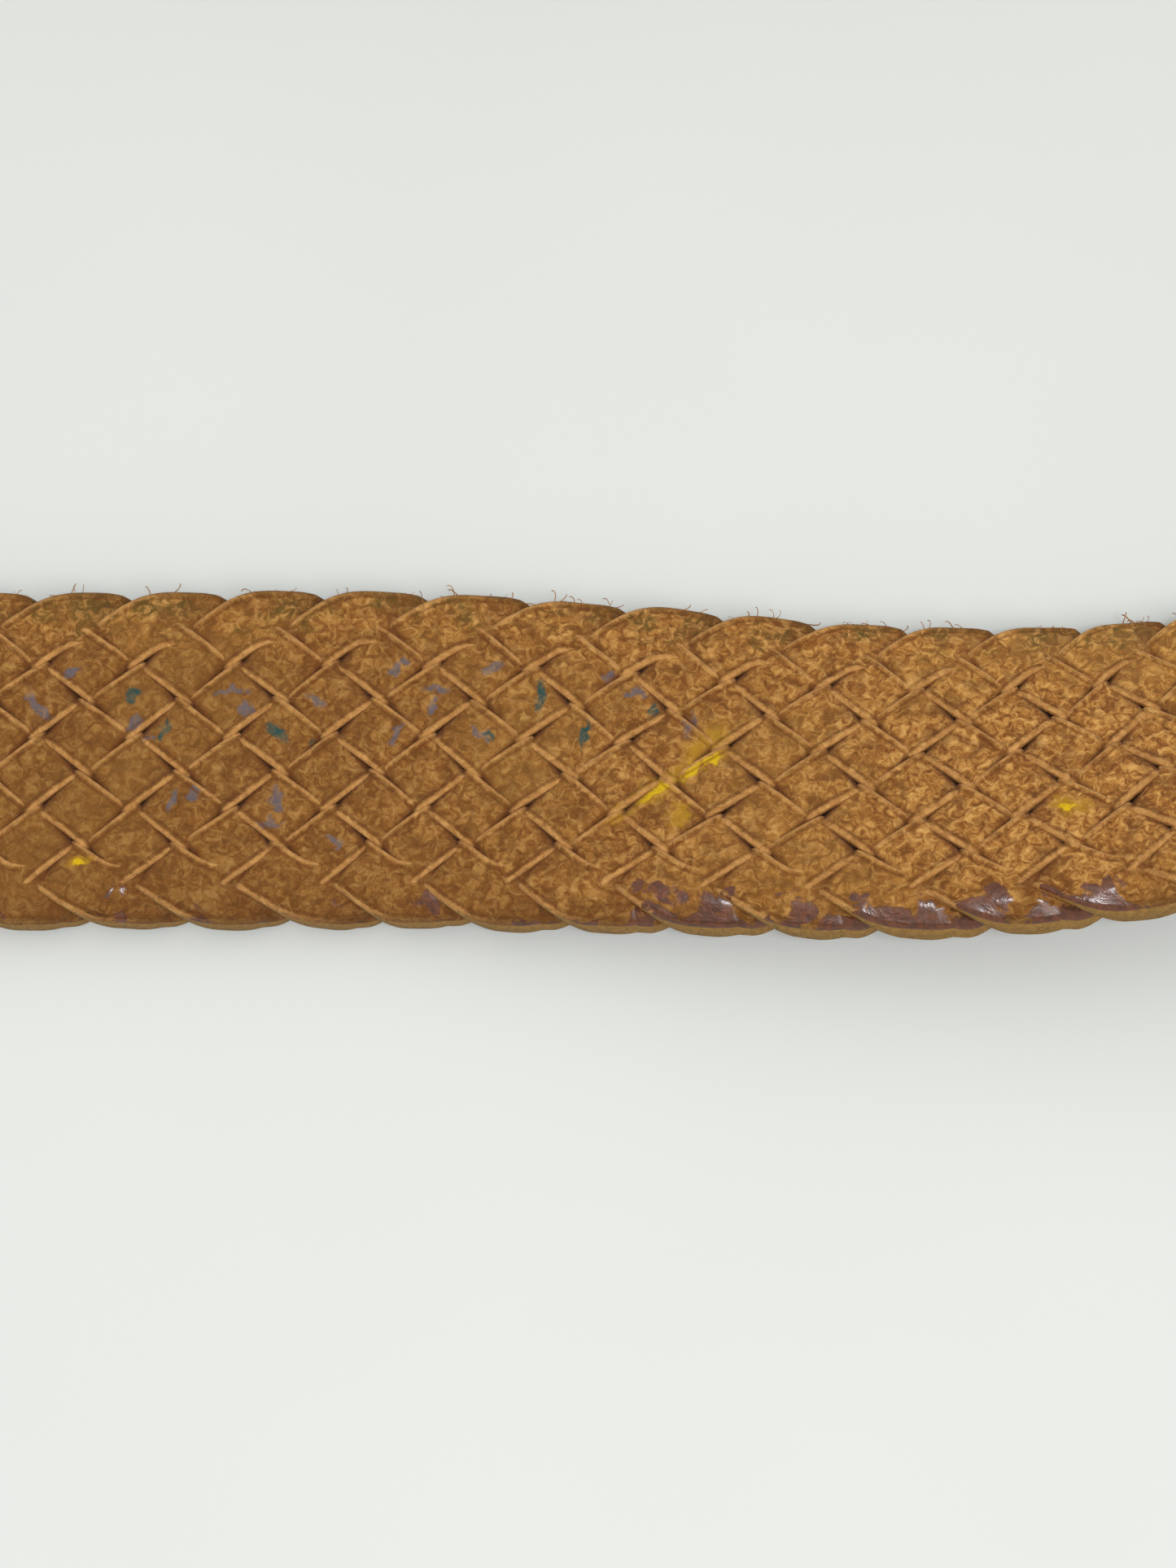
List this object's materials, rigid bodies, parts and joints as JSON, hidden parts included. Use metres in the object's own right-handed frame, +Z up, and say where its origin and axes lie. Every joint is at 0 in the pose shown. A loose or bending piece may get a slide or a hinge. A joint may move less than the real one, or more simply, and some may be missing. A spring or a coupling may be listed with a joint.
{
  "type": "plaited leather reins",
  "caption": "Closed riding rein: a long flat leather plait with a plain buckled bit end at each side, put away in a loose coil.",
  "frame": {"origin": "on the table, under the front arc of the coil, halfway across it from left to right", "axes": "+Z up from the table, +X to the right along the lying stretch of plait, +Y away from that stretch, through the coil"},
  "size_m": [0.3651, 0.3897, 0.0364],
  "materials": {
    "flesh_leather": "flesh side up, mottled suede-like tan with light cut edges, darker finish on the grain side",
    "grain_leather": "havana brown bridle leather, waxed, satin",
    "buckle_steel": "cast stainless steel, polished"
  },
  "bodies": {
    "rein": {"thong_1": "flesh_leather", "thong_2": "flesh_leather", "thong_3": "flesh_leather", "thong_4": "flesh_leather", "thong_5": "flesh_leather", "thong_6": "flesh_leather", "thong_7": "flesh_leather", "thong_8": "flesh_leather", "thong_9": "flesh_leather", "rising_plait": "flesh_leather", "coiled_plait": "flesh_leather", "inner_plait": "flesh_leather", "outer_chape": "grain_leather", "outer_billet": "grain_leather", "outer_fixed_keeper": "grain_leather", "inner_chape": "grain_leather", "inner_billet": "grain_leather", "inner_fixed_keeper": "grain_leather"},
    "outer_buckle": {"outer_buckle_frame": "buckle_steel"},
    "outer_tongue": {"outer_buckle_tongue": "buckle_steel"},
    "outer_loose_keeper": {"outer_running_keeper": "grain_leather"},
    "inner_buckle": {"inner_buckle_frame": "buckle_steel"},
    "inner_tongue": {"inner_buckle_tongue": "buckle_steel"},
    "inner_loose_keeper": {"inner_running_keeper": "grain_leather"}
  },
  "joints": [
    {"name": "outer_buckle_swing", "type": "hinge", "parent": "rein", "child": "outer_buckle", "pos_m": [-0.12836, -0.096, 0.0071], "axis": [0, -1, 0], "range_deg": [-5, 60]},
    {"name": "outer_tongue_swing", "type": "hinge", "parent": "outer_buckle", "child": "outer_tongue", "pos_m": [-0.12836, -0.096, 0.0071], "axis": [0, -1, 0], "range_deg": [0, 75]},
    {"name": "outer_keeper_slide", "type": "slide", "parent": "rein", "child": "outer_loose_keeper", "axis": [-1, 0, 0], "range_m": [-0.008, 0.01]},
    {"name": "inner_buckle_swing", "type": "hinge", "parent": "rein", "child": "inner_buckle", "pos_m": [-0.01898, 0.2196, 0.0185], "axis": [0, 0, -1], "range_deg": [-5, 60]},
    {"name": "inner_tongue_swing", "type": "hinge", "parent": "inner_buckle", "child": "inner_tongue", "pos_m": [-0.01898, 0.2196, 0.0185], "axis": [0, 0, -1], "range_deg": [0, 75]},
    {"name": "inner_keeper_slide", "type": "slide", "parent": "rein", "child": "inner_loose_keeper", "axis": [-1, 0, 0], "range_m": [-0.006, 0.01]}
  ]
}
